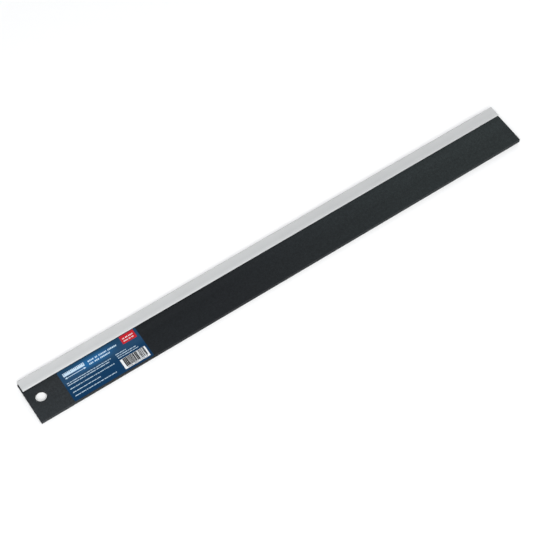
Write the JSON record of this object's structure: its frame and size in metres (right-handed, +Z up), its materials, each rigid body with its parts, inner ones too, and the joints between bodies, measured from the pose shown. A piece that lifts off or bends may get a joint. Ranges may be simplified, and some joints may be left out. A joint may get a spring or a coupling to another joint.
{
  "type": "technician's straight edge",
  "caption": "Long flat steel straight edge with a bevelled working edge, a hanging hole at one end, a push-on plastic edge guard and a printed label.",
  "frame": {"origin": "centre of the footprint, on the surface that the straight edge lies on", "axes": "+X runs from the hanging-hole end to the plain end, +Y points towards the guarded working edge, +Z points up out of the labelled face"},
  "size_m": [0.6, 0.0518, 0.008],
  "materials": {
    "black_coating": "satin, near-black powder coat with a fine grain",
    "ground_steel": "bare steel of the narrow working edge, finely ground lengthwise",
    "guard_plastic": "light grey extruded plastic, soft satin",
    "label_print": "semi-gloss printed film, dark blue with white and red print"
  },
  "bodies": {
    "bar": {"straight_edge_bar": "black_coating", "label": "label_print"},
    "guard": {"guard_back": "guard_plastic", "guard_upper_leg": "guard_plastic", "guard_lower_leg": "guard_plastic"}
  },
  "joints": [
    {"name": "guard_pull_off", "type": "slide", "parent": "bar", "child": "guard", "axis": [0, 1, 0], "range_m": [0, 0.025]}
  ]
}
